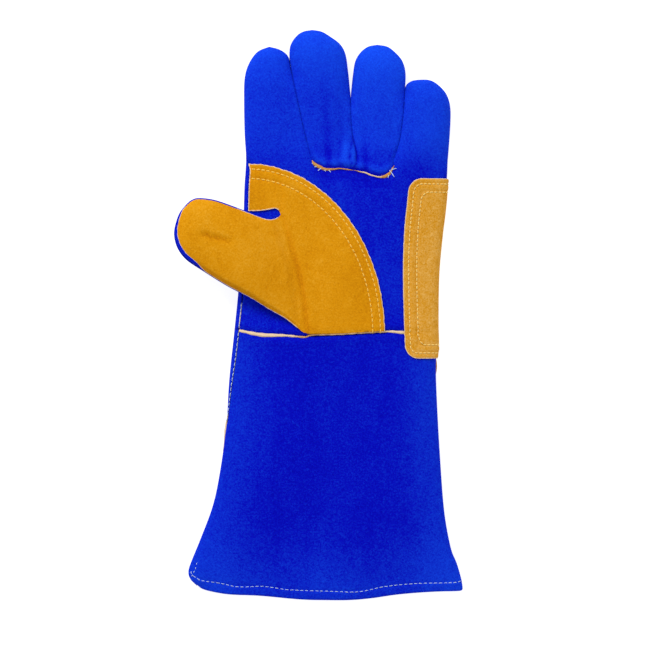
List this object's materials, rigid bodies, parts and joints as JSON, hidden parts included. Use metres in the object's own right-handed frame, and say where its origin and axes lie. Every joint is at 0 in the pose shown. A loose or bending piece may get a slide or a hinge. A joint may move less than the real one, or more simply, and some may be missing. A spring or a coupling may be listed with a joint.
{
  "type": "welding glove",
  "caption": "Long suede leather welding glove for the left hand, with gold palm, thumb and heel reinforcements, stitched welts and a flared gauntlet cuff.",
  "frame": {"origin": "centre of the whole glove on the surface that its back rests on, palm up", "axes": "+Y from the cuff to the fingertips, +Z out of the palm, -X towards the thumb"},
  "size_m": [0.2023, 0.4001, 0.0381],
  "materials": {
    "blue_leather": "matte",
    "gold_leather": "matte",
    "tan_leather": "matte",
    "cream_thread": "satin",
    "fleece_lining": "matte"
  },
  "bodies": {
    "hand": {"palm_panel": "blue_leather", "back_panel": "blue_leather", "hand_lining": "fleece_lining", "palm_patch": "gold_leather", "palm_patch_outer_thread": "cream_thread", "palm_patch_inner_thread": "cream_thread", "heel_patch": "gold_leather", "heel_patch_outer_thread": "cream_thread", "heel_patch_inner_thread": "cream_thread", "finger_base_welt": "tan_leather", "wrist_welt_front": "tan_leather", "wrist_welt_back": "tan_leather", "hand_thumb_side_welt": "tan_leather", "hand_little_side_welt": "tan_leather"},
    "index_base": {"index_base_front": "blue_leather", "index_base_back": "blue_leather", "index_base_lining": "fleece_lining"},
    "index_tip": {"index_tip_front": "blue_leather", "index_tip_back": "blue_leather", "index_tip_lining": "fleece_lining"},
    "middle_base": {"middle_base_front": "blue_leather", "middle_base_back": "blue_leather", "middle_base_lining": "fleece_lining"},
    "middle_tip": {"middle_tip_front": "blue_leather", "middle_tip_back": "blue_leather", "middle_tip_lining": "fleece_lining"},
    "ring_base": {"ring_base_front": "blue_leather", "ring_base_back": "blue_leather", "ring_base_lining": "fleece_lining"},
    "ring_tip": {"ring_tip_front": "blue_leather", "ring_tip_back": "blue_leather", "ring_tip_lining": "fleece_lining"},
    "little_base": {"little_base_front": "blue_leather", "little_base_back": "blue_leather", "little_base_lining": "fleece_lining"},
    "little_tip": {"little_tip_front": "blue_leather", "little_tip_back": "blue_leather", "little_tip_lining": "fleece_lining"},
    "thumb_base": {"thumb_base_front": "gold_leather", "thumb_base_back": "blue_leather", "thumb_base_lining": "fleece_lining"},
    "thumb_tip": {"thumb_tip_front": "gold_leather", "thumb_tip_back": "blue_leather", "thumb_tip_lining": "fleece_lining"},
    "cuff": {"cuff_front": "blue_leather", "cuff_back": "blue_leather", "cuff_lining": "fleece_lining", "cuff_thumb_side_welt": "tan_leather", "cuff_little_side_welt": "tan_leather", "hem_thread_front": "cream_thread", "hem_thread_back": "cream_thread"}
  },
  "joints": [
    {"name": "index_knuckle", "type": "hinge", "parent": "hand", "child": "index_base", "pos_m": [-0.03, 0.112, 0.01], "axis": [1, 0, 0], "range_deg": [0, 55]},
    {"name": "index_middle_knuckle", "type": "hinge", "parent": "index_base", "child": "index_tip", "pos_m": [-0.03, 0.152, 0.01], "axis": [1, 0, 0], "range_deg": [0, 65]},
    {"name": "middle_knuckle", "type": "hinge", "parent": "hand", "child": "middle_base", "pos_m": [0.01, 0.112, 0.01], "axis": [1, 0, 0], "range_deg": [0, 55]},
    {"name": "middle_middle_knuckle", "type": "hinge", "parent": "middle_base", "child": "middle_tip", "pos_m": [0.01, 0.152, 0.01], "axis": [1, 0, 0], "range_deg": [0, 65]},
    {"name": "ring_knuckle", "type": "hinge", "parent": "hand", "child": "ring_base", "pos_m": [0.039, 0.112, 0.01], "axis": [1, 0, 0], "range_deg": [0, 55]},
    {"name": "ring_middle_knuckle", "type": "hinge", "parent": "ring_base", "child": "ring_tip", "pos_m": [0.039, 0.152, 0.01], "axis": [1, 0, 0], "range_deg": [0, 65]},
    {"name": "little_knuckle", "type": "hinge", "parent": "hand", "child": "little_base", "pos_m": [0.072, 0.112, 0.01], "axis": [1, 0, 0], "range_deg": [0, 55]},
    {"name": "little_middle_knuckle", "type": "hinge", "parent": "little_base", "child": "little_tip", "pos_m": [0.072, 0.137, 0.01], "axis": [1, 0, 0], "range_deg": [0, 65]},
    {"name": "thumb_fold", "type": "hinge", "parent": "hand", "child": "thumb_base", "pos_m": [-0.018, 0.028, 0.026], "axis": [-0.1945, 0.9809, 0], "range_deg": [0, 60]},
    {"name": "thumb_knuckle", "type": "hinge", "parent": "thumb_base", "child": "thumb_tip", "pos_m": [-0.06403, 0.04754, 0.0303], "axis": [0.3907, 0.9205, 0], "range_deg": [0, 45]},
    {"name": "wrist", "type": "hinge", "parent": "hand", "child": "cuff", "pos_m": [0.012, -0.012, 0.011], "axis": [-1, 0, 0], "range_deg": [-30, 30], "deforming": ["heel_patch", "heel_patch_outer_thread", "heel_patch_inner_thread", "wrist_welt_front", "wrist_welt_back"]}
  ]
}
